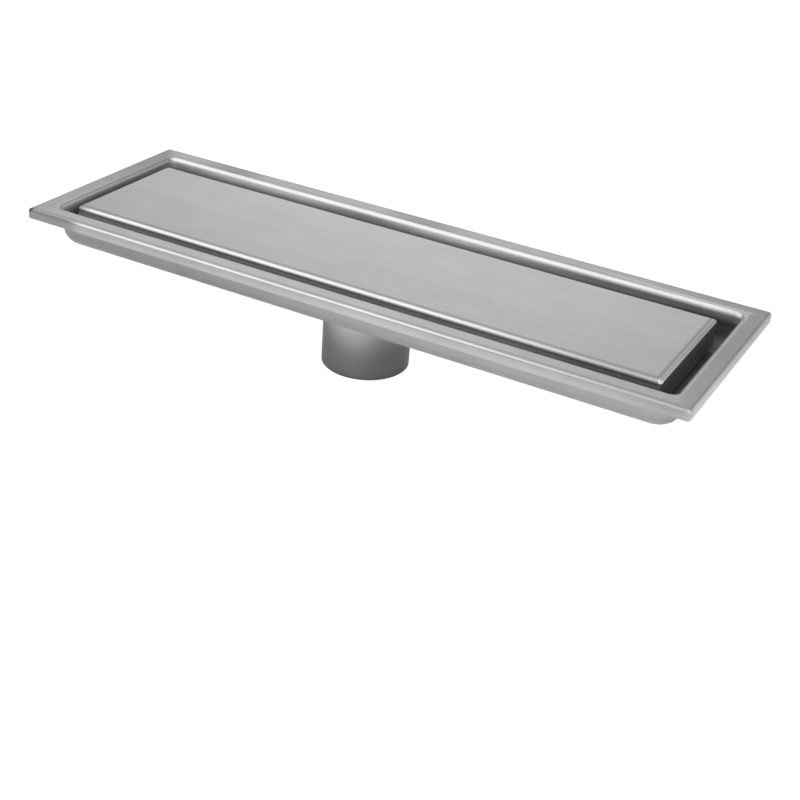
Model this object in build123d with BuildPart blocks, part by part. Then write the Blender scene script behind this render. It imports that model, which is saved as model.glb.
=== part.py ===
"""Linear shower drain: a pressed stainless channel with a bedding flange, a loose cover and an outlet."""

import os

from build123d import *

# Driving dimensions of the channel, in millimetres. Bend radii are those on the inside of the bend.
flange_length = 300.0
flange_width = 100.0
total_height = 50.0
sheet = 1.0
side_land = 10.0
end_land = 9.2
lip_height = 4.2
lip_bend = 0.3
lip_corner = 0.5
mouth_bend = 1.5
mouth_corner = 2.5
channel_depth = 15.8
floor_bend = 5.0
floor_corner = 8.8

# Driving dimensions of the outlet
outlet_diameter = 38.0
outlet_wall = 1.0
outlet_offset = -7.4
collar_length = 6.0
collar_bend = 1.5
weld_width = 2.4
weld_rise = 0.7
pipe_chamfer = 0.4

# Driving dimensions of the cover and of the studs that it rests on
cover_sheet = 1.0
cover_depth = 11.0
cover_bend = 0.5
cover_corner = 0.6
cover_recess = 1.3
side_gap = 7.55
end_gap = 5.3
cover_shift = -2.2
rest_diameter = 7.0
rest_round = 0.5
rest_margin = 2.5
rest_inset = 30.0

# Driving dimensions of the hair strainer
strainer_sheet = 0.8
strainer_rim = 8.0
strainer_clearance = 1.5
strainer_depth = 14.0
strainer_bend = 1.0
hole_diameter = 3.2
hole_pitch = 4.8
slot_width = 2.6
slot_length = 6.5
slot_count = 12

# Heights, measured up from the lower end of the outlet
flange_top = total_height
flange_underside = flange_top - sheet
lip_end = flange_top - lip_height
floor_top = flange_top - channel_depth
floor_underside = floor_top - sheet
seam_height = floor_underside - collar_length
cover_top = flange_top - cover_recess
cover_rim = cover_top - cover_depth
cup_floor = floor_top - strainer_depth

# Plan sizes that follow from the driving ones
channel_length = flange_length - 2 * end_land
channel_width = flange_width - 2 * side_land
trough_length = channel_length + 2 * sheet
trough_width = channel_width + 2 * sheet
cover_length = channel_length - 2 * end_gap
cover_width = channel_width - 2 * side_gap
outlet_radius = outlet_diameter / 2
bore_radius = outlet_radius - outlet_wall
cup_radius = bore_radius - strainer_clearance
cup_bore = cup_radius - strainer_sheet

# Centre of the outlet in plan
outlet_centre = (outlet_offset, 0)

# How near an edge must lie to a height or a radius to be picked there
near = 0.01


def edges_at(builder, height):
    """Edges that lie flat at a height."""
    return builder.edges().filter_by_position(Axis.Z, height - near, height + near)


def circles_at(builder, height, radius):
    """Circles of a given radius that lie flat at a height."""
    flat = edges_at(builder, height).filter_by(GeomType.CIRCLE)
    return flat.filter_by(lambda edge: abs(edge.radius - radius) < near)


def flat_face_at(builder, height):
    """The largest flat face at a height."""
    level = builder.faces().filter_by(Plane.XY)
    return level.filter_by_position(Axis.Z, height - near, height + near).sort_by(SortBy.AREA)[-1]


# Hollow of the channel: upright sides, with corners that widen from the mouth's radius to the floor's
with BuildPart() as hollow:
    with BuildSketch(Plane.XY.offset(floor_top)):
        RectangleRounded(channel_length, channel_width, floor_corner)
    with BuildSketch(Plane.XY.offset(flange_top)):
        RectangleRounded(channel_length, channel_width, mouth_corner)
    loft(ruled=True)
    fillet(edges_at(hollow, floor_top), floor_bend)

# Outside of the trough, one sheet thickness out from the hollow
with BuildPart() as trough:
    with BuildSketch(Plane.XY.offset(floor_underside)):
        RectangleRounded(trough_length, trough_width, floor_corner + sheet)
    with BuildSketch(Plane.XY.offset(flange_underside)):
        RectangleRounded(trough_length, trough_width, mouth_corner + sheet)
    loft(ruled=True)
    fillet(edges_at(trough, floor_underside), floor_bend + sheet)

# Channel body: flange, turned-down lip, trough and drawn outlet collar, pressed from one sheet
with BuildPart() as channel_body:
    with BuildSketch(Plane.XY.offset(lip_end)):
        RectangleRounded(flange_length, flange_width, lip_corner + sheet)
    extrude(amount=lip_height)
    with BuildSketch(Plane.XY.offset(lip_end)):
        RectangleRounded(flange_length - 2 * sheet, flange_width - 2 * sheet, lip_corner)
    extrude(amount=lip_height - sheet, mode=Mode.SUBTRACT)
    add(trough.part)
    add(hollow.part, mode=Mode.SUBTRACT)

    # Bends of one sheet thickness at the mouth and at the lip
    land = flat_face_at(channel_body, flange_top)
    fillet(land.inner_wires()[0].edges(), mouth_bend + sheet)
    land = flat_face_at(channel_body, flange_top)
    fillet(land.outer_wire().edges(), lip_bend + sheet)
    ceiling = flat_face_at(channel_body, flange_underside)
    fillet(ceiling.inner_wires()[0].edges(), mouth_bend)
    ceiling = flat_face_at(channel_body, flange_underside)
    fillet(ceiling.outer_wire().edges(), lip_bend)

    # Collar drawn down out of the floor for the outlet pipe
    with BuildSketch(Plane.XY.offset(seam_height)):
        with Locations(outlet_centre):
            Circle(outlet_radius)
    extrude(amount=collar_length)
    with BuildSketch(Plane.XY.offset(seam_height)):
        with Locations(outlet_centre):
            Circle(bore_radius)
    extrude(amount=collar_length + sheet, mode=Mode.SUBTRACT)
    fillet(circles_at(channel_body, floor_top, bore_radius), collar_bend + sheet)
    fillet(circles_at(channel_body, floor_underside, outlet_radius), collar_bend)

# Outlet pipe, butt welded to the collar, with its weld bead and a deburred lower end
with BuildPart() as outlet_pipe:
    with BuildSketch():
        with Locations(outlet_centre):
            Circle(outlet_radius)
    extrude(amount=seam_height)
    chamfer(circles_at(outlet_pipe, 0, outlet_radius), pipe_chamfer)
    with BuildSketch(Plane.XY.offset(seam_height - weld_width)):
        with Locations(outlet_centre):
            Circle(outlet_radius + weld_rise)
    extrude(amount=weld_width)
    bead = circles_at(outlet_pipe, seam_height, outlet_radius + weld_rise)
    bead += circles_at(outlet_pipe, seam_height - weld_width, outlet_radius + weld_rise)
    fillet(bead, weld_rise - near)
    with BuildSketch():
        with Locations(outlet_centre):
            Circle(bore_radius)
    extrude(amount=seam_height, mode=Mode.SUBTRACT)

# Cover: one sheet folded down on four sides, with closed corners, open below
with BuildPart() as cover_plate:
    with BuildSketch(Plane.XY.offset(cover_rim)):
        with Locations((cover_shift, 0)):
            RectangleRounded(cover_length, cover_width, cover_corner + cover_sheet)
    extrude(amount=cover_depth)
    fillet(edges_at(cover_plate, cover_top), cover_bend + cover_sheet)
    offset(amount=-cover_sheet, openings=cover_plate.faces().sort_by(Axis.Z)[0])

# Hair strainer: a pressed cup that hangs by its rim in the outlet
with BuildPart() as hair_strainer:
    with BuildSketch(Plane.XY.offset(floor_top)):
        with Locations(outlet_centre):
            Circle(cup_radius + strainer_rim)
    extrude(amount=strainer_sheet)
    with BuildSketch(Plane.XY.offset(cup_floor)):
        with Locations(outlet_centre):
            Circle(cup_radius)
    extrude(amount=strainer_depth)
    with BuildSketch(Plane.XY.offset(cup_floor + strainer_sheet)):
        with Locations(outlet_centre):
            Circle(cup_bore)
    extrude(amount=strainer_depth, mode=Mode.SUBTRACT)
    fillet(circles_at(hair_strainer, cup_floor, cup_radius), strainer_bend + strainer_sheet)
    fillet(circles_at(hair_strainer, cup_floor + strainer_sheet, cup_bore), strainer_bend)
    fillet(circles_at(hair_strainer, floor_top + strainer_sheet, cup_bore), strainer_bend + strainer_sheet)
    fillet(circles_at(hair_strainer, floor_top, cup_radius), strainer_bend)

    # Round holes in the cup's floor, in rings about a central one
    with BuildSketch(Plane.XY.offset(cup_floor)):
        with Locations(outlet_centre):
            Circle(hole_diameter / 2)
            flat_radius = cup_bore - strainer_bend - hole_diameter / 2
            for ring in range(1, int(flat_radius / hole_pitch) + 1):
                with PolarLocations(ring * hole_pitch, 6 * ring):
                    Circle(hole_diameter / 2)
    extrude(amount=strainer_sheet, mode=Mode.SUBTRACT)

    # Upright slots round the cup's wall
    slot_height = (cup_floor + floor_top) / 2
    for index in range(slot_count):
        outward = Vector(1, 0, 0).rotate(Axis.Z, 360 * index / slot_count)
        with BuildSketch(Plane((outlet_offset, 0, slot_height), x_dir=(0, 0, 1), z_dir=outward)):
            SlotOverall(slot_length, slot_width)
        extrude(amount=cup_radius + strainer_sheet, mode=Mode.SUBTRACT)

os.makedirs("parts", exist_ok=True)
for name, piece in (
    ("channel_body", channel_body),
    ("outlet_pipe", outlet_pipe),
    ("cover_plate", cover_plate),
    ("hair_strainer", hair_strainer),
):
    piece.part.label = name
    export_step(piece.part, f"parts/{name}.step")

# Rest studs, welded to the floor under the four corners of the cover's rim
rest_height = cover_rim - floor_top
rest_x = cover_length / 2 - rest_inset
rest_y = cover_width / 2 - cover_sheet / 2 - rest_margin
for side, across in (("front", -rest_y), ("back", rest_y)):
    for end, along in (("left", cover_shift - rest_x), ("right", cover_shift + rest_x)):
        with BuildPart() as cover_rest:
            with BuildSketch(Plane.XY.offset(floor_top)):
                with Locations((along, across)):
                    Circle(rest_diameter / 2)
            extrude(amount=rest_height)
            fillet(edges_at(cover_rest, cover_rim), rest_round)
        cover_rest.part.label = f"cover_rest_{side}_{end}"
        export_step(cover_rest.part, f"parts/{cover_rest.part.label}.step")
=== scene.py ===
"""Looks of a linear shower drain: satin stainless steel sheet and tube on a pale studio floor."""

import math

import bpy
import numpy as np
from mathutils import Matrix, Vector


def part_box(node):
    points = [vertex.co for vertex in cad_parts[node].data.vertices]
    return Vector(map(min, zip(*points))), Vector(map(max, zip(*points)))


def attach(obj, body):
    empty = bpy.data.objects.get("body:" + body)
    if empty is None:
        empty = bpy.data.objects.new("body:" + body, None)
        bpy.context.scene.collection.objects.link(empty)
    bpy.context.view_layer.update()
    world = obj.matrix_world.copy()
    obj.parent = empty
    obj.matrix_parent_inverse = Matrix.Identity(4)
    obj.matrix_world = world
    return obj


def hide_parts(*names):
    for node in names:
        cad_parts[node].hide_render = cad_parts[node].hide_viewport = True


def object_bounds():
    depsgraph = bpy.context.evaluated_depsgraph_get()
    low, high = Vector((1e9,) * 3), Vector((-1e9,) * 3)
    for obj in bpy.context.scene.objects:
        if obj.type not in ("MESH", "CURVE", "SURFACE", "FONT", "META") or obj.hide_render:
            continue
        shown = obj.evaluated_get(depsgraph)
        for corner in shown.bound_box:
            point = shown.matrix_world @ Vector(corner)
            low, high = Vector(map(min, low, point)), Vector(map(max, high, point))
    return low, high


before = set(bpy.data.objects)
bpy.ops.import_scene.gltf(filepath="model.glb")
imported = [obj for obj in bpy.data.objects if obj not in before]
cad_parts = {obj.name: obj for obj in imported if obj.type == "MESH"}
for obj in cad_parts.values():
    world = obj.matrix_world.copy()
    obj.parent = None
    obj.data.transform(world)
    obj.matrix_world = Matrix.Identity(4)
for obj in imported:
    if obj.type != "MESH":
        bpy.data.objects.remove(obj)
cad_low, cad_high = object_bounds()

# The scene is in metres, and sizes are written in millimetres
MM = 0.001

# Section of the pressed sheet; bend radii are those on the inside of the bend
sheet = 1.0 * MM
side_land = 10.0 * MM
end_land = 9.2 * MM
lip_height = 4.2 * MM
lip_bend = 0.3 * MM
lip_corner = 0.5 * MM
mouth_bend = 1.5 * MM
mouth_corner = 2.5 * MM
channel_depth = 15.8 * MM
floor_bend = 5.0 * MM
floor_corner = 8.8 * MM
cut_edge = 0.15 * MM

# Section of the outlet, and the ripples of its weld, which crowd and spread as they go round
outlet_wall = 1.0 * MM
collar_bend = 1.5 * MM
weld_width = 2.4 * MM
weld_rise = 0.7 * MM
weld_ripples = 90
weld_ripple_depth = 0.18 * MM
weld_sway = 2.0
weld_sway_waves = 5
pipe_chamfer = 0.4 * MM

# Section of the cover
cover_bend = 0.5 * MM
cover_corner = 0.6 * MM
cover_flat_margin = 4.0 * MM

# Fineness of the grids: steps in a turn, and shares of the way along a straight stretch
bend_steps = 8
corner_steps = 10
weld_steps = 12
round_steps = 640
side_shares = np.concatenate(([0.004], np.linspace(0.04, 0.96, 24), [0.996]))
straight_shares = np.array([0.03, 0.5, 0.97])
floor_shares = np.array([0.02, 0.25, 0.5, 0.75, 0.98])

# Places taken from the frame
flange_low, flange_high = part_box("channel_body")
cover_low, cover_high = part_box("cover_plate")
pipe_low, pipe_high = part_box("outlet_pipe")
flange_top = flange_high.z
flange_underside = flange_top - sheet
lip_end = flange_top - lip_height
floor_top = flange_top - channel_depth
floor_underside = floor_top - sheet
seam_height = pipe_high.z
mouth_half = Vector((flange_high.x - end_land, flange_high.y - side_land))
outlet_x = (pipe_low.x + pipe_high.x) / 2
outlet_radius = (pipe_high.x - pipe_low.x) / 2 - weld_rise
bore_radius = outlet_radius - outlet_wall


def arc(out, up, radius, start, stop):
    """Points of a section on a circle: the centre (out, up) plus the radius, at angles from start to stop.

    The angles are in degrees.
    """
    turn = np.radians(np.linspace(start, stop, bend_steps + 1))
    return np.column_stack((out + radius * np.cos(turn), up + radius * np.sin(turn)))


def about(half, points, corner):
    """Rows (half length, half width, height, corner radius) of a section that runs round a rectangle in plan.

    The points are given as out and up: out from the rectangle of the given half sizes, whose corner radius is
    given too. The radius grows with the distance out.
    """
    out, up = points.T
    return np.column_stack((half[0] + out, half[1] + out, up, corner + out))


def joined(stretches):
    """Runs stretches of a section into one, with points on the straight parts between them.

    These points lie at fixed shares of the way from the end of one stretch to the start of the next, and keep
    the straight parts flat when shaded smooth.
    """
    rows = [stretches[0]]
    for before, after in zip(stretches, stretches[1:]):
        rows.append(before[-1] + straight_shares[:, None] * (after[0] - before[-1]))
        rows.append(after)
    return np.concatenate(rows)


def plan_rings(rows, centre_x=0.0):
    """Rounded rectangles, one for each row, as points of shape (rows, columns, 3).

    Each corner is a quarter turn of the row's corner radius about a centre that lies that radius in from both
    sides, and the points of a side lie at fixed shares between two corners.
    """
    half_x, half_y, up, corner = rows.T[:, :, None, None]
    quarter = np.linspace(0.0, np.pi / 2, corner_steps + 1)
    turn = np.arange(4)[:, None] * np.pi / 2 + quarter
    sign_x = np.array([1, -1, -1, 1])[None, :, None]
    sign_y = np.array([1, 1, -1, -1])[None, :, None]
    bend_x = sign_x * (half_x - corner) + corner * np.cos(turn)
    bend_y = sign_y * (half_y - corner) + corner * np.sin(turn)
    bends = np.stack((bend_x, bend_y), axis=-1)
    begin = bends[:, :, -1:, :]
    end = np.roll(bends, -1, axis=1)[:, :, :1, :]
    sides = begin + side_shares[None, None, :, None] * (end - begin)
    flat = np.concatenate((bends, sides), axis=2).reshape(len(rows), -1, 2)
    flat[..., 0] += centre_x
    height = np.broadcast_to(up[..., 0], flat.shape[:2])
    return np.concatenate((flat, height[..., None]), axis=-1)


def round_rings(rows, turn):
    """Circles about the outlet's axis, one for each row (radius, up), at the given angles."""
    radius, up = rows.T[:, :, None]
    x = outlet_x + radius * np.cos(turn)
    y = radius * np.sin(turn)
    return np.stack((x, y, np.broadcast_to(up, x.shape)), axis=-1)


def grid_faces(row_count, column_count, closed_rows):
    """Quads between neighbouring rows and columns. The columns close into a ring, and the rows if asked."""
    row = np.arange(row_count if closed_rows else row_count - 1)[:, None]
    column = np.arange(column_count)[None, :]
    next_row = (row + 1) % row_count
    next_column = (column + 1) % column_count
    corners = (row * column_count + column, row * column_count + next_column)
    across = (next_row * column_count + next_column, next_row * column_count + column)
    return np.stack(corners + across, axis=-1).reshape(-1, 4)


def make_piece(name, rings, closed_rows=True):
    """A closed mesh from rings of points.

    Open ends get a flat cap. The faces are turned round where the signed volumes between them and the origin
    add up to less than nothing, so that they look outwards.
    """
    rows, columns = rings.shape[:2]
    faces = grid_faces(rows, columns, closed_rows)
    points = rings.reshape(-1, 3)
    a, b, c, d = (points[faces[:, corner]] for corner in range(4))
    volume = np.sum(np.cross(a, b) * c) + np.sum(np.cross(a, c) * d)
    polygons = faces.tolist()
    if not closed_rows:
        polygons.append(list(range(columns))[::-1])
        polygons.append(list(range((rows - 1) * columns, rows * columns)))
    mesh = bpy.data.meshes.new(name)
    mesh.from_pydata(points.tolist(), [], polygons)
    if volume < 0:
        mesh.flip_normals()
    mesh.shade_smooth()
    mesh.update()
    piece = bpy.data.objects.new(name, mesh)
    bpy.context.scene.collection.objects.link(piece)
    return piece


def wall_corner(up):
    """Corner radius of the channel's inner wall, in step with the height from the floor's to the mouth's."""
    return np.interp(up, (floor_top, flange_top), (floor_corner, mouth_corner))


def channel_sheet():
    """The pressed channel: one closed section of sheet, carried round the rounded plan and round the outlet.

    The section goes up the inside of the trough, over the flange, round the turned-down lip, back along the
    underside and down the outside. From there circles about the outlet's axis go down the collar, round its
    end and up to the floor again, where the section closes.
    """
    lip_outer_bend = lip_bend + sheet
    mouth_outer_bend = mouth_bend + sheet
    floor_outer_bend = floor_bend + sheet
    floor_turn = arc(-floor_bend, floor_top + floor_bend, floor_bend, -90, 0)
    mouth_turn = arc(mouth_outer_bend, flange_top - mouth_outer_bend, mouth_outer_bend, 180, 90)
    lip_turns = (
        arc(-lip_outer_bend, flange_top - lip_outer_bend, lip_outer_bend, 90, 0),
        arc(-cut_edge, lip_end + cut_edge, cut_edge, 0, -90),
        arc(cut_edge - sheet, lip_end + cut_edge, cut_edge, -90, -180),
        arc(-lip_outer_bend, flange_underside - lip_bend, lip_bend, 0, 90),
    )
    mouth_under = arc(mouth_outer_bend, flange_underside - mouth_bend, mouth_bend, 90, 180)
    floor_under = arc(-floor_bend, floor_underside + floor_outer_bend, floor_outer_bend, 0, -90)
    rings = plan_rings(joined([
        about(mouth_half, floor_turn, wall_corner(floor_turn[:, 1])),
        about(mouth_half, mouth_turn, wall_corner(mouth_turn[:, 1])),
        *(about(flange_high, turn, lip_corner + sheet) for turn in lip_turns),
        about(mouth_half, mouth_under, wall_corner(mouth_under[:, 1] + sheet)),
        about(mouth_half, floor_under, wall_corner(floor_under[:, 1] + sheet)),
    ]))

    collar_outer_bend = collar_bend + sheet
    collar = joined([
        arc(outlet_radius + collar_bend, floor_underside - collar_bend, collar_bend, 90, 180),
        arc(outlet_radius - cut_edge, seam_height + cut_edge, cut_edge, 0, -90),
        arc(bore_radius + cut_edge, seam_height + cut_edge, cut_edge, -90, -180),
        arc(bore_radius + collar_outer_bend, floor_top - collar_outer_bend, collar_outer_bend, 180, 90),
    ])
    first, last = rings[0], rings[-1]
    circles = round_rings(collar, np.arctan2(last[:, 1] / mouth_half.y, last[:, 0] / mouth_half.x))
    under = last + floor_shares[:, None, None] * (circles[0] - last)
    over = circles[-1] + floor_shares[:, None, None] * (first - circles[-1])
    return make_piece("channel_sheet", np.concatenate((rings, under, circles, over)))


def cover_sheet():
    """The cover: one section of sheet, carried round the rounded plan, with a flat cap inside and on top.

    The section goes from the underside down the inside of the fold, round the rim and up over the top.
    """
    half = (cover_high - cover_low) / 2
    top, rim = cover_high.z, cover_low.z
    outer_bend = cover_bend + sheet
    outer_corner = cover_corner + sheet
    inset = -outer_bend - cover_flat_margin
    section = joined([
        about(half, np.array([[inset, top - sheet]]), outer_corner - inset),
        about(half, arc(-outer_bend, top - outer_bend, cover_bend, 90, 0), outer_corner),
        about(half, arc(cut_edge - sheet, rim + cut_edge, cut_edge, 180, 270), outer_corner),
        about(half, arc(-cut_edge, rim + cut_edge, cut_edge, -90, 0), outer_corner),
        about(half, arc(-outer_bend, top - outer_bend, outer_bend, 0, 90), outer_corner),
        about(half, np.array([[inset, top]]), outer_corner - inset),
    ])
    centre_x = (cover_low.x + cover_high.x) / 2
    return make_piece("cover_sheet", plan_rings(section, centre_x), closed_rows=False)


def outlet_tube():
    """The outlet pipe: a section turned about its axis.

    The weld bead is half an ellipse, and its ripples are a cosine wave round the axis that presses the bead
    in by the ripple's depth. The wave's phase sways by a slower sine, so that the ripples are uneven.
    """
    bead_low = seam_height - weld_width
    bead_turn = np.radians(np.linspace(-90, 90, weld_steps + 1))
    bead = np.column_stack((
        outlet_radius + weld_rise * np.cos(bead_turn),
        bead_low + weld_width * (1 + np.sin(bead_turn)) / 2,
    ))
    section = joined([
        arc(bore_radius + cut_edge, cut_edge, cut_edge, 180, 270),
        np.array([[outlet_radius - pipe_chamfer, 0.0], [outlet_radius, pipe_chamfer]]),
        bead,
        np.array([[bore_radius, seam_height]]),
    ])
    turn = np.linspace(0.0, 2 * np.pi, round_steps, endpoint=False)
    rings = round_rings(section, turn)
    proud = np.clip((section[:, 0] - outlet_radius) / weld_rise, 0.0, 1.0)
    wave = 0.5 - 0.5 * np.cos(weld_ripples * turn + weld_sway * np.sin(weld_sway_waves * turn))
    shrink = 1 - (weld_ripple_depth / outlet_radius) * proud[:, None] * wave
    rings[..., 0] = outlet_x + (rings[..., 0] - outlet_x) * shrink
    rings[..., 1] *= shrink
    return make_piece("outlet_tube", rings)


class Nodes:
    """Shorthand for building one node tree. A value is a number, or another node's socket to link to."""

    def __init__(self, tree):
        self.tree = tree

    def feed(self, socket, value):
        """Sets a socket to a value, or links it where the value is another node's socket."""
        if isinstance(value, bpy.types.NodeSocket):
            self.tree.links.new(value, socket)
        else:
            socket.default_value = value

    def add(self, kind, *terms, operation=None, **inputs):
        """A node with its inputs fed, in order or by name. An underscore in a name stands for a space."""
        node = self.tree.nodes.new(kind)
        if operation:
            node.operation = operation
        for socket, term in zip(node.inputs, terms):
            self.feed(socket, term)
        for name, value in inputs.items():
            self.feed(node.inputs[name.replace("_", " ")], value)
        return node

    def maths(self, operation, *terms):
        """One step of arithmetic."""
        return self.add("ShaderNodeMath", *terms, operation=operation).outputs[0]

    def product(self, first, *others):
        """All the terms multiplied."""
        for other in others:
            first = self.maths("MULTIPLY", first, other)
        return first

    def inverse(self, share):
        """1 where the share is 0, and 0 where it is 1."""
        return self.maths("SUBTRACT", 1.0, share)

    def blend(self, share, first, second):
        """First where the share is 0, second where it is 1."""
        return self.maths("ADD", self.product(self.inverse(share), first), self.product(share, second))

    def step(self, value, start, stop, low=0.0, high=1.0):
        """A smooth step: low where the value is at start or before, high where it is at stop or past it.

        The value may rise or fall from start to stop.
        """
        node = self.add(
            "ShaderNodeMapRange", Value=value, From_Min=start, From_Max=stop, To_Min=low, To_Max=high
        )
        node.interpolation_type = "SMOOTHSTEP"
        return node.outputs[0]

    def band(self, value, low, high, blur):
        """1 where the value is between low and high, 0 outside. The edges are soft by the blur each way."""
        rise = self.step(value, low - blur, low + blur)
        fall = self.step(value, high + blur, high - blur)
        return self.product(rise, fall)

    def dot(self, first, second):
        """Product of two vectors: the more they agree, the larger."""
        return self.add("ShaderNodeVectorMath", first, second, operation="DOT_PRODUCT").outputs["Value"]

    def noise(self, place, cycles):
        """Noise with its cycles per metre along each axis, so it can be drawn out along one of them."""
        drawn = self.add("ShaderNodeMapping", Vector=place, Scale=cycles).outputs[0]
        noise = self.add("ShaderNodeTexNoise", Vector=drawn, Scale=1.0, Detail=3.0, Roughness=0.6)
        return noise.outputs[0]

    def seen(self):
        """1 where a surface is seen directly, 0 where it is mirrored or lights something."""
        return self.add("ShaderNodeLightPath").outputs["Is Camera Ray"]


class Steel(Nodes):
    """A stainless finish in the making: its grain, its lightness and its roughness, as sockets or numbers.

    Where a finish is laid, a run is a pair of places, between which a smooth step goes from 0 to 1, or from
    the first to the second of a pair of shades or factors. A band is two places and the blur of its edges.
    """

    # Stretch of a noise that is carried to its full effect, and what the grain does to roughness and bump
    noise_run = (0.25, 0.75)
    grain_roughness = 0.05
    bump_strength = 0.2
    bump_height = 0.02 * MM

    def __init__(self, name, shade, roughness, grain_cycles):
        self.material = bpy.data.materials.new(name)
        self.material.use_nodes = True
        super().__init__(self.material.node_tree)
        self.place = self.add("ShaderNodeTexCoord").outputs["Object"]
        self.x, self.y, self.z = self.add("ShaderNodeSeparateXYZ", Vector=self.place).outputs
        self.shade = shade
        self.roughness = roughness
        self.grain = self.noise(self.place, grain_cycles)

    def past(self, half):
        """Distances out from a rectangle of the given half sizes in plan: past its ends, past its sides."""
        past_end = self.maths("SUBTRACT", self.maths("ABSOLUTE", self.x), half[0])
        past_side = self.maths("SUBTRACT", self.maths("ABSOLUTE", self.y), half[1])
        return past_end, past_side

    def looks_in(self):
        """1 on faces that look up or towards the middle of the plan, 0 on those that look down or away."""
        normal = self.add("ShaderNodeNewGeometry").outputs["Normal"]
        towards_middle = (-1.0, -1.0, 0.0)
        upwards = (0.0, 0.0, 20 * MM)
        inwards = self.add(
            "ShaderNodeVectorMath", self.place, towards_middle, upwards, operation="MULTIPLY_ADD"
        )
        return self.maths("GREATER_THAN", self.dot(normal, inwards.outputs["Vector"]), 0.0)

    def change(self, shade, roughness, *shares):
        """Another lightness and roughness where all the shares are 1."""
        where = self.product(*shares)
        self.shade = self.blend(where, self.shade, shade)
        self.roughness = self.blend(where, self.roughness, roughness)

    def scale(self, factor, *shares):
        """The lightness times a factor where all the shares are 1."""
        self.shade = self.blend(self.product(*shares), self.shade, self.product(self.shade, factor))

    def finish(self, grain_depth=0.04, cloud_depth=0.04, cloud_cycles=(40.0, 60.0, 60.0)):
        """Links lightness, roughness and a fine bump to the shader, varied by grain and by broad clouds."""
        clouds = self.noise(self.place, cloud_cycles)
        grain_factor = self.step(self.grain, *self.noise_run, 1 - grain_depth, 1 + grain_depth)
        cloud_factor = self.step(clouds, *self.noise_run, 1 - cloud_depth, 1 + cloud_depth)
        light = self.product(grain_factor, cloud_factor, self.shade)
        colour = self.add("ShaderNodeCombineColor", Red=light, Green=light, Blue=light)
        uneven = self.step(self.grain, *self.noise_run, -self.grain_roughness, self.grain_roughness)
        bump = self.add(
            "ShaderNodeBump", Strength=self.bump_strength, Distance=self.bump_height, Height=self.grain
        )
        shader = self.tree.nodes["Principled BSDF"]
        self.feed(shader.inputs["Base Color"], colour.outputs[0])
        self.feed(shader.inputs["Roughness"], self.maths("ADD", self.roughness, uneven))
        self.feed(shader.inputs["Normal"], bump.outputs[0])
        self.feed(shader.inputs["Metallic"], 1.0)
        return self.material


# Cycles per metre of the brush grain, drawn out along the drain, across it and round the outlet
along = (9.0, 2600.0, 2600.0)
across = (2600.0, 9.0, 2600.0)
around = (60.0, 60.0, 2600.0)

# Roughness of the channel's steel as brushed, and a duller one where its front lip is worn and where painted
# shade covers its left end
brushed = 0.29
dull_roughness = 0.52

# Stretch along the drain in which the front lip gets worn
worn_run = (30 * MM, 130 * MM)


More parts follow.
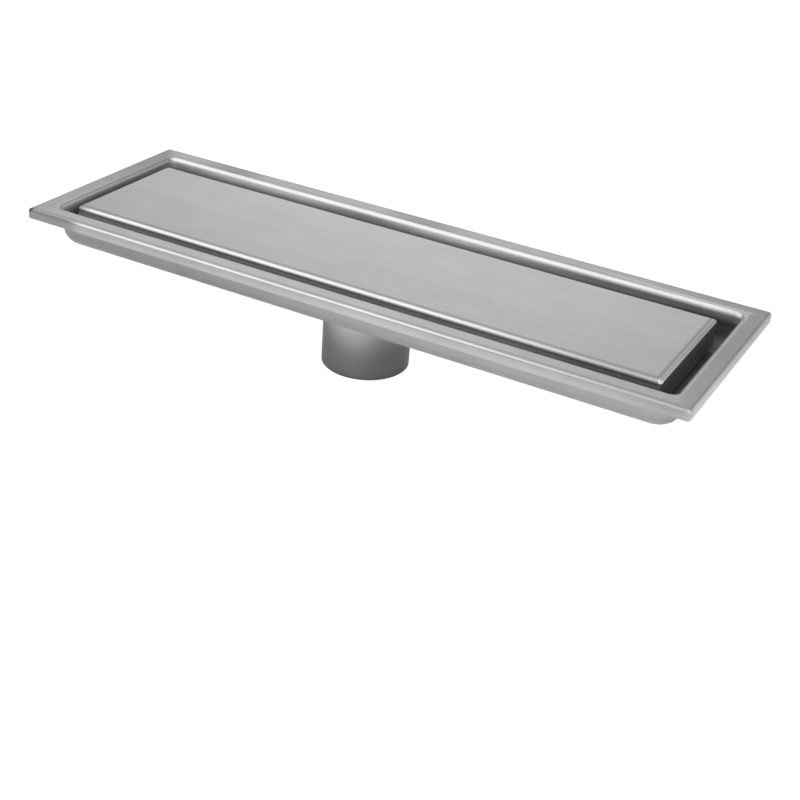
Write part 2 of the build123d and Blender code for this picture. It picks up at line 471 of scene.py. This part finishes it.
class ChannelSteel(Steel):
    """The channel's finish. Each method lays its part over what the methods before it have laid."""

    def __init__(self):
        """Starts the finish, with distances from the flange's edge and the mouth, and shares of the faces."""
        shade = 0.53
        end_run = (-5 * MM, 5 * MM)
        top_run = (1.4 * MM, 0.3 * MM)
        right_run = (-100 * MM, 100 * MM)
        lip_run = (-1.4 * MM, -0.2 * MM)
        front_run = (flange_low.y + 1.5 * MM, flange_low.y + 0.5 * MM)
        back_run = (mouth_half.y + 1.5 * MM, mouth_half.y + 2.4 * MM)
        super().__init__("channel_steel", shade, brushed, along)
        past_end, past_side = self.past(flange_high)
        self.past_edge = self.maths("MAXIMUM", past_end, past_side)
        self.past_corner = self.maths("MINIMUM", past_end, past_side)
        self.past_mouth_end, past_mouth_side = self.past(mouth_half)
        self.past_mouth = self.maths("MAXIMUM", self.past_mouth_end, past_mouth_side)
        self.depth = self.maths("SUBTRACT", flange_top, self.z)
        self.on_end = self.step(self.maths("SUBTRACT", past_end, past_side), *end_run)
        self.on_top = self.step(self.depth, *top_run)
        self.on_right = self.step(self.x, *right_run)
        self.on_lip = self.step(self.past_edge, *lip_run)
        self.on_front = self.step(self.y, *front_run)
        self.on_back = self.step(self.y, *back_run)
        self.on_left_end = self.product(self.on_end, self.inverse(self.on_right))
        self.on_side_top = self.maths("MAXIMUM", self.maths("SUBTRACT", self.on_top, self.on_end), 0.0)

    def turn_grain(self):
        """The grain runs across on the short ends, at half its strength about the noise's middle."""
        strength = 0.5
        middle = 0.5
        end_grain = self.noise(self.place, across)
        faint = self.maths("MULTIPLY_ADD", end_grain, strength, (1 - strength) * middle)
        self.grain = self.blend(self.on_end, self.grain, faint)

    def tint_sides(self):
        """The bend at the back gets a painted highlight, the front flange dims to the right, the back flange
        is darker.
        """
        bend_highlight_shade = 0.61
        bend_run = (mouth_half.y - 2 * MM, mouth_half.y)
        front_shades = (0.52, 0.46)
        front_run = (0.0, -40 * MM)
        dimming_run = (-120 * MM, 150 * MM)
        back_shade = 0.455
        self.change(bend_highlight_shade, brushed, self.step(self.y, *bend_run))
        front_shade = self.step(self.x, *dimming_run, *front_shades)
        self.change(front_shade, brushed, self.step(self.y, *front_run))
        self.change(back_shade, brushed, self.on_back)

    def tone_back_and_paint_streak(self):
        """The back flange: darker patches and right end, a light rim, and a painted highlight in a streak
        that runs in to the bend. The bend's painted highlight fades near its right corner.
        """
        patches = ((-121 * MM, -96 * MM), (-20 * MM, 8 * MM))
        patch_blur = 10 * MM
        patch_factor = 0.75
        end_run = (90 * MM, 135 * MM)
        end_factor = 0.83
        rim_run = (flange_high.y - 3.4 * MM, flange_high.y - 2.2 * MM)
        rim_factor = 1.22
        streak_shift_run = (60 * MM, 125 * MM)
        streak_places = (mouth_half.y + 4.6 * MM, mouth_half.y + 2.8 * MM)
        streak_band = (-1 * MM, 1 * MM, 0.6 * MM)
        streak_rise_run = (60 * MM, 130 * MM)
        streak_factor = 1.7
        bend_band = (mouth_half.y, mouth_half.y + 2 * MM, 1 * MM)
        bend_end_run = (125 * MM, 142 * MM)
        bend_end_factor = 0.80
        for patch in patches:
            self.scale(patch_factor, self.on_back, self.band(self.x, *patch, patch_blur))
        self.scale(end_factor, self.on_back, self.step(self.x, *end_run))
        self.scale(rim_factor, self.step(self.y, *rim_run))
        # Painted highlight in a light streak beside the bend
        streak_y = self.step(self.x, *streak_shift_run, *streak_places)
        streak = self.band(self.maths("SUBTRACT", self.y, streak_y), *streak_band)
        self.scale(streak_factor, streak, self.step(self.x, *streak_rise_run))
        # The bend's painted highlight fades near its right corner
        self.scale(bend_end_factor, self.band(self.y, *bend_band), self.step(self.x, *bend_end_run))

    def paint_end_reflection(self):
        """The tops of the ends are darker, painted to stand for how their crosswise grain reflects. The left
        one dims towards the back, and the right one has painted light on its fold.
        """
        left_shades = (0.47, 0.33)
        left_run = (-35 * MM, 40 * MM)
        right_shades = (0.37, 0.48)
        roughness = 0.30
        left_shade = self.step(self.y, *left_run, *left_shades)
        right_shade = self.blend(self.on_lip, *right_shades)
        self.change(self.blend(self.on_right, left_shade, right_shade), roughness, self.on_end, self.on_top)

    def tone_lip_and_paint_reflection(self):
        """The lip's outer face: lighter to the right, dimmer near the right end, with painted reflection
        darkening its upper part.

        On the right end, painted reflection makes it lightest at the front.
        """
        shades = (0.545, 0.66)
        shade_run = (-80 * MM, 20 * MM)
        end_factor = 0.85
        end_run = (120 * MM, 145 * MM)
        roughnesses = (0.34, 0.50)
        right_factors = (1.5, 1.15)
        right_run = (-45 * MM, 30 * MM)
        upper_factor = 0.91
        upper_band = (lip_end + 1.9 * MM, flange_top - 1.2 * MM, 0.4 * MM)
        shade = self.step(self.x, *shade_run, *shades)
        shade = self.product(shade, self.step(self.x, *end_run, 1.0, end_factor))
        roughness = self.step(self.x, *worn_run, *roughnesses)
        self.change(shade, roughness, self.on_lip, self.inverse(self.on_top))
        right_factor = self.step(self.y, *right_run, *right_factors)
        self.scale(right_factor, self.on_lip, self.on_end, self.on_right)
        self.scale(upper_factor, self.on_lip, self.band(self.z, *upper_band))

    def paint_fold_line(self):
        """Painted shade in a faint dark line beside the lip's fold."""
        line_band = (-2.8 * MM, -1.6 * MM, 0.5 * MM)
        line_factor = 0.74
        self.scale(line_factor, self.band(self.past_edge, *line_band), self.on_side_top)

    def paint_front_fold(self):
        """The front fold: a painted highlight that fades where it is worn at its right end, and painted shade
        over the left end of lip and fold, which is rougher there.

        The left tip is dark, and the right tip has a painted glint.
        """
        fold_shades = (0.60, 0.52)
        painted_left_end_run = (flange_low.x + 30 * MM, flange_low.x + 21 * MM)
        painted_left_end_shades = (0.39, 0.24)
        left_tip_run = (-3.4 * MM, -1.4 * MM)
        left_tip_shade = 0.08
        left_tip_roughness = 0.60
        right_tip_run = (-1.9 * MM, -0.9 * MM)
        right_tip_glint_shade = 0.95
        right_tip_roughness = 0.38
        # Painted highlight along the fold, which fades and roughens where it is worn
        worn = self.step(self.x, *worn_run)
        fold_roughness = self.blend(worn, brushed, dull_roughness)
        self.change(self.blend(worn, *fold_shades), fold_roughness, self.on_front, self.on_top)
        # Painted shade over the lip and fold at the left end, which is rougher there
        painted_left_end_shade = self.blend(self.on_top, *painted_left_end_shades)
        self.change(painted_left_end_shade, dull_roughness, self.step(self.x, *painted_left_end_run), self.on_front)
        left_tip = self.step(self.past_corner, *left_tip_run)
        left_front = self.maths("LESS_THAN", self.maths("MAXIMUM", self.x, self.y), 0.0)
        self.change(left_tip_shade, left_tip_roughness, left_tip, left_front, self.on_top)
        # A painted glint on the right tip
        right_tip = self.step(self.past_corner, *right_tip_run)
        right_half = self.maths("GREATER_THAN", self.x, 0.0)
        self.change(right_tip_glint_shade, right_tip_roughness, right_tip, right_half, self.on_front, self.on_top)

    def paint_mouth_lines(self):
        """The mouth's bend: painted shade in a faint line on the back flange, and painted light on its edges
        at both ends.
        """
        back_band = (mouth_half.y + 2.6 * MM, mouth_half.y + 3.8 * MM, 0.5 * MM)
        back_factor = 0.90
        right_band = (0.4 * MM, 2.4 * MM, 0.5 * MM)
        right_factor = 1.25
        left_band = (0.22 * MM, 0.85 * MM, 0.12 * MM)
        left_factors = (1.15, 1.27)
        left_run = (-30 * MM, 35 * MM)
        self.scale(back_factor, self.band(self.y, *back_band), self.on_side_top)
        right_edge = self.band(self.past_mouth_end, *right_band)
        self.scale(right_factor, right_edge, self.on_end, self.on_right)
        left_factor = self.step(self.y, *left_run, *left_factors)
        self.scale(left_factor, self.on_left_end, self.band(self.depth, *left_band))

    def paint_trough_shade(self):
        """Outside, the trough is rougher, with painted shade that lightens to the right and painted light on
        its lower bend. Inside, painted shade darkens it with depth.

        The inner end walls have painted shade, deepest near the mouth and lighter at the foot and towards
        front and back.
        The left one has a painted light pocket at the front.
        """
        side_run = (0.9 * MM, 2.6 * MM)
        end_run = (0.8 * MM, 2.0 * MM)
        mouth_run = (2.6 * MM, 1.6 * MM)
        outer_shades = (0.345, 0.51)
        outer_run = (-140 * MM, 80 * MM)
        outer_roughness = 0.42
        bend_factors = (1.5, 1.0)
        bend_run = (floor_underside + 0.5 * MM, floor_underside + 4.5 * MM)
        inner_reach = 2.6 * MM
        inner_roughness = 0.75
        mouth_shade = 1.0
        deep_shade = 0.28
        pocket_shade = 0.85
        pocket_run = (-26 * MM, -38 * MM)
        deep_run = (1.8 * MM, 6.5 * MM)
        wall_factors = (0.32, 0.47)
        wall_run = (1.2 * MM, 3.6 * MM)
        back_factors = (1.0, 1.3)
        back_run = (0.0, 35 * MM)
        front_factor = 0.50
        front_run = (-38 * MM, -15 * MM)
        foot_factor = 1.3
        foot_run = (6 * MM, 12 * MM)

        starts, stops = (self.blend(self.on_end, *pair) for pair in zip(side_run, end_run))
        below = self.step(self.depth, starts, stops)
        # Outside: painted shade that lightens to the right, and painted light on the lower bend
        outer_shade = self.step(self.x, *outer_run, *outer_shades)
        outer_shade = self.product(outer_shade, self.step(self.z, *bend_run, *bend_factors))
        self.change(outer_shade, outer_roughness, below, self.step(self.past_mouth, *mouth_run))

        # Inside: painted shade that darkens with depth
        within = self.maths("LESS_THAN", self.past_mouth, inner_reach)
        self.inside = self.product(below, self.looks_in(), within)
        pocket = self.product(self.on_left_end, self.step(self.y, *pocket_run))
        foot_shade = self.blend(pocket, deep_shade, pocket_shade)
        inner_shade = self.step(self.depth, *deep_run, mouth_shade, foot_shade)
        wall_factor = self.step(self.depth, *wall_run, *wall_factors)
        wall_factor = self.product(wall_factor, self.step(self.y, *back_run, *back_factors))
        upper_factor = self.step(self.y, *front_run, front_factor, wall_factor)
        end_factor = self.blend(self.step(self.depth, *foot_run), upper_factor, foot_factor)
        inner_shade = self.product(inner_shade, self.blend(self.on_end, 1.0, end_factor))
        self.change(inner_shade, inner_roughness, self.inside)

    def paint_back_wall_shade(self):
        """Painted shade on the back wall: lightest left of its middle, dimming to both sides, most in its
        right corner.
        """
        back_run = (0.0, mouth_half.y - 4 * MM)
        upper_run = (2.2 * MM, 4.5 * MM)
        lower_share = 0.35
        left_run = (-105 * MM, -135 * MM)
        left_factor = 0.75
        middle_band = (-55 * MM, -15 * MM, 15 * MM)
        middle_factor = 0.68
        right_run = (5 * MM, 95 * MM)
        right_factor = 0.40
        corner_run = (100 * MM, 130 * MM)
        corner_back_run = (0.0, 30 * MM)
        corner_band = (3.6 * MM, 7.0 * MM, 1.5 * MM)
        corner_factor = 0.58
        upper = self.step(self.depth, *upper_run, 1.0, lower_share)
        on_wall = self.product(self.inside, self.step(self.y, *back_run), upper)
        self.scale(left_factor, on_wall, self.step(self.x, *left_run))
        self.scale(middle_factor, on_wall, self.band(self.x, *middle_band))
        self.scale(right_factor, on_wall, self.step(self.x, *right_run))
        corner = self.product(self.step(self.x, *corner_run), self.step(self.y, *corner_back_run))
        self.scale(corner_factor, self.inside, corner, self.band(self.depth, *corner_band))


def channel_finish():
    """Brushed flange and lip, with the grain turned on the short ends and painted light and shade laid over
    them. The trough is rougher and, by painted shade, darker, in and out.
    """
    steel = ChannelSteel()
    steel.turn_grain()
    steel.tint_sides()
    steel.tone_back_and_paint_streak()
    steel.paint_end_reflection()
    steel.tone_lip_and_paint_reflection()
    steel.paint_fold_line()
    steel.paint_front_fold()
    steel.paint_mouth_lines()
    steel.paint_trough_shade()
    steel.paint_back_wall_shade()
    return steel.finish(grain_depth=0.025, cloud_depth=0.05, cloud_cycles=(50.0, 90.0, 90.0))


def cover_finish():
    """Brushed top, with painted shade in dark lines and painted highlights on the bends at the front and
    right folds, and a painted glint at their corner. The folds' faces are rougher, with painted shade.
    """
    front_shade = 0.485
    back_shade = 0.535
    top_run = (-35 * MM, 30 * MM)
    top_roughness = 0.31
    line_band = (-3.3 * MM, -1.9 * MM, 0.5 * MM)
    line_factors = (0.67, 0.64)
    line_right_run = (-6 * MM, -3 * MM)
    right_bend_band = (-1.3 * MM, -0.3 * MM, 0.3 * MM)
    right_bend_factors = (1.4, 1.0)
    right_bend_run = (-25 * MM, 20 * MM)
    front_bend_run = (-1.7 * MM, -1.1 * MM)
    front_left_factors = (0.45, 1.36)
    front_left_run = (cover_low.x, cover_low.x + 9 * MM)
    front_right_factors = (1.0, 0.60)
    front_right_run = (40 * MM, 125 * MM)
    corner_run = (-2.2 * MM, -1.2 * MM)
    corner_glint_shade = 0.95
    corner_roughness = 0.20
    fold_run = (cover_high.z - 1 * MM, cover_high.z - 3 * MM)
    fold_roughness = 0.60
    fold_shades = (0.36, 0.80)
    fold_shade_run = (cover_high.z - 6 * MM, cover_high.z - 1 * MM)
    fold_right_factors = (1.0, 0.70)
    fold_right_run = (70 * MM, 115 * MM)
    right_fold_shade = 0.30
    right_fold_run = (-1.5 * MM, 0.0)

    steel = Steel("cover_steel", front_shade, top_roughness, along)
    steel.shade = steel.step(steel.y, *top_run, front_shade, back_shade)
    past_front = steel.maths("SUBTRACT", cover_low.y, steel.y)
    past_right = steel.maths("SUBTRACT", steel.x, cover_high.x)

    # Painted shade in lines beside the two folds that show, painted highlights on their bends, and a painted
    # glint at their corner
    line_factor = steel.blend(steel.step(past_right, *line_right_run), *line_factors)
    steel.scale(line_factor, steel.band(steel.maths("MAXIMUM", past_front, past_right), *line_band))
    right_bend_factor = steel.step(steel.y, *right_bend_run, *right_bend_factors)
    steel.scale(right_bend_factor, steel.band(past_right, *right_bend_band))
    front_left_factor = steel.step(steel.x, *front_left_run, *front_left_factors)
    front_right_factor = steel.step(steel.x, *front_right_run, *front_right_factors)
    front_bend_factor = steel.product(front_left_factor, front_right_factor)
    steel.scale(front_bend_factor, steel.step(past_front, *front_bend_run))
    corner = steel.step(steel.maths("MINIMUM", past_front, past_right), *corner_run)
    steel.change(corner_glint_shade, corner_roughness, corner)

    # Faces of the folds: rougher, with painted shade that deepens downwards and towards the right end, and is
    # darkest on the right fold
    fold_shade = steel.step(steel.z, *fold_shade_run, *fold_shades)
    fold_shade = steel.product(fold_shade, steel.step(steel.x, *fold_right_run, *fold_right_factors))
    fold_shade = steel.blend(steel.step(past_right, *right_fold_run), fold_shade, right_fold_shade)
    steel.change(fold_shade, fold_roughness, steel.step(steel.z, *fold_run))
    return steel.finish(grain_depth=0.015, cloud_depth=0.035)


def outlet_finish():
    """Plain drawn tube, with painted shade that darkens it towards its lower end and on its right side, and a
    painted shadow in a dark rim at its foot.
    """
    upper_shade = 0.68
    upper_roughness = 0.22
    lower_run = (28 * MM, 9 * MM)
    lower_shade = 0.355
    lower_roughness = 0.24
    right_run = (outlet_x + 3 * MM, outlet_x + 15 * MM)
    right_factor = 0.82
    rim_run = (1.6 * MM, 0.6 * MM)
    rim_factor = 0.82
    steel = Steel("outlet_steel", upper_shade, upper_roughness, around)
    # Painted shade, darkening the tube towards its lower end
    steel.change(lower_shade, lower_roughness, steel.step(steel.z, *lower_run))
    # Painted shade on its right side
    steel.scale(right_factor, steel.step(steel.x, *right_run))
    # A painted shadow in a dark rim at its foot
    steel.scale(rim_factor, steel.step(steel.z, *rim_run))
    return steel.finish(grain_depth=0.015)


def small_finish():
    """Plain sheet and studs under the cover."""
    shade = 0.34
    roughness = 0.45
    return Steel("small_steel", shade, roughness, around).finish()


def dress(piece, material, node):
    """Gives a new piece its finish, hangs it under the root body, and hides the solid it stands in for."""
    piece.data.materials.append(material)
    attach(piece, "root")
    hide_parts(node)


def grey(level):
    """A grey as a colour."""
    return (level, level, level, 1.0)


def studio_floor():
    """A wide pale floor at the outlet's lower end. Seen directly it is near white, with faint shadows."""
    reach = 8.0
    level = cad_low.z
    lighting_paint, lighting_glow = 0.85, 0.05
    seen_paint, seen_glow = 0.10, 1.00
    corners = [(-reach, -reach, level), (reach, -reach, level), (reach, reach, level), (-reach, reach, level)]
    mesh = bpy.data.meshes.new("studio_floor")
    mesh.from_pydata(corners, [], [(0, 1, 2, 3)])
    floor = bpy.data.objects.new("studio_floor", mesh)
    bpy.context.scene.collection.objects.link(floor)
    material = bpy.data.materials.new("pale_floor")
    material.use_nodes = True
    nodes = Nodes(material.node_tree)
    nodes.tree.nodes.remove(nodes.tree.nodes["Principled BSDF"])
    layers = []
    for paint, glow in ((lighting_paint, lighting_glow), (seen_paint, seen_glow)):
        matt = nodes.add("ShaderNodeBsdfDiffuse", Color=grey(paint)).outputs[0]
        light = nodes.add("ShaderNodeEmission", Color=grey(1.0), Strength=glow).outputs[0]
        layers.append(nodes.add("ShaderNodeAddShader", matt, light).outputs[0])
    choice = nodes.add("ShaderNodeMixShader", nodes.seen(), *layers)
    nodes.feed(nodes.tree.nodes["Material Output"].inputs["Surface"], choice.outputs[0])
    mesh.materials.append(material)


def studio_sky():
    """Soft surroundings: even grey walls with brighter lobes, and white where seen directly.

    A lobe is at full strength within its core, and falls to nothing at its edge. The brightest one is behind
    on the left, where the camera sees it mirrored in the cover, and the others light the sides and ends.
    """
    wall_level = 0.40
    seen_level = 1.0

    # Direction, angles of the core and of the edge in degrees, and rise of the radiance
    lobes = (
        ((-0.40, 0.78, 0.48), 2.0, 24.0, 0.62),
        ((0.45, 0.78, 0.42), 5.0, 30.0, 0.18),
        ((-0.30, -0.90, 0.25), 10.0, 50.0, 0.25),
        ((0.55, -0.65, 0.50), 5.0, 42.0, 0.42),
        ((0.95, 0.05, 0.28), 5.0, 40.0, 0.38),
        ((0.78, 0.55, 0.28), 5.0, 36.0, 0.25),
        ((-0.95, 0.0, 0.28), 5.0, 36.0, 0.20),
    )
    world = bpy.data.worlds.new("studio_sky")
    bpy.context.scene.world = world
    world.use_nodes = True
    nodes = Nodes(world.node_tree)
    direction = nodes.add("ShaderNodeTexCoord").outputs["Generated"]
    level = wall_level
    for towards, core, edge, rise in lobes:
        nearness = nodes.dot(direction, Vector(towards).normalized())
        run = (math.cos(math.radians(edge)), math.cos(math.radians(core)))
        level = nodes.maths("ADD", level, nodes.step(nearness, *run, 0.0, rise))
    background = nodes.tree.nodes["Background"]
    nodes.feed(background.inputs["Strength"], nodes.blend(nodes.seen(), level, seen_level))
    nodes.feed(background.inputs["Color"], grey(1.0))


def softbox(name, radiance, mirrored):
    """A rectangular lamp above on the left, turned to the flange.

    Its power is the radiance times pi times its area. A lamp that isn't mirrored lights only what is matt.
    """
    place = Vector((-0.40, -0.15, 0.90))
    target = Vector((0.0, 0.0, flange_top))
    width, height = 1.3, 1.3
    lamp = bpy.data.lights.new(name, "AREA")
    lamp.shape = "RECTANGLE"
    lamp.size = width
    lamp.size_y = height
    lamp.energy = radiance * math.pi * width * height
    box = bpy.data.objects.new(name, lamp)
    box.location = place
    box.rotation_euler = (target - place).to_track_quat("-Z", "Y").to_euler()
    box.visible_glossy = mirrored
    bpy.context.scene.collection.objects.link(box)


def studio_camera():
    """The camera at the photograph's place: back along the view direction, turned about it by the roll.

    The aim is the middle of the flange. It lies left of the image's middle and above it, and the focal length
    is given in pixels of the image.
    """
    azimuth = math.radians(26.932)
    elevation = math.radians(29.048)
    roll = math.radians(-4.477)
    distance = 593.785 * MM
    aim_left = 5.324 * MM
    aim_above = 58.882 * MM
    focal_pixels = 1428.551
    image_pixels = 800
    sensor_width = 36.0
    nearest = 10 * MM
    level_right = Vector((math.cos(azimuth), math.sin(azimuth), 0.0))
    level_back = Vector((math.sin(azimuth), -math.cos(azimuth), 0.0))
    back = math.cos(elevation) * level_back + Vector((0.0, 0.0, math.sin(elevation)))
    level_up = back.cross(level_right)
    right = math.cos(roll) * level_right - math.sin(roll) * level_up
    up = math.sin(roll) * level_right + math.cos(roll) * level_up
    aim = Vector((0.0, 0.0, flange_top))
    place = aim + aim_left * right - aim_above * up + distance * back
    lens = bpy.data.cameras.new("studio_camera")
    lens.sensor_width = sensor_width
    lens.lens = focal_pixels / image_pixels * sensor_width
    lens.clip_start = nearest
    camera = bpy.data.objects.new("studio_camera", lens)
    camera.matrix_world = Matrix.Translation(place) @ Matrix((right, up, back)).transposed().to_4x4()
    bpy.context.scene.collection.objects.link(camera)
    bpy.context.scene.camera = camera


# The drain: three pieces in place of their solids, and a finish for the solids that stay
dress(channel_sheet(), channel_finish(), "channel_body")
dress(cover_sheet(), cover_finish(), "cover_plate")
dress(outlet_tube(), outlet_finish(), "outlet_pipe")
small_steel = small_finish()
for name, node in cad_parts.items():
    if name.startswith("cover_rest") or name == "hair_strainer":
        node.data.materials.clear()
        node.data.materials.append(small_steel)

# The studio, with one lamp for everything and one for the matt floor alone
studio_floor()
studio_sky()
softbox("overhead_box", radiance=1.1, mirrored=True)
softbox("floor_box", radiance=0.4, mirrored=False)
studio_camera()
bpy.context.scene.view_settings.view_transform = "Standard"
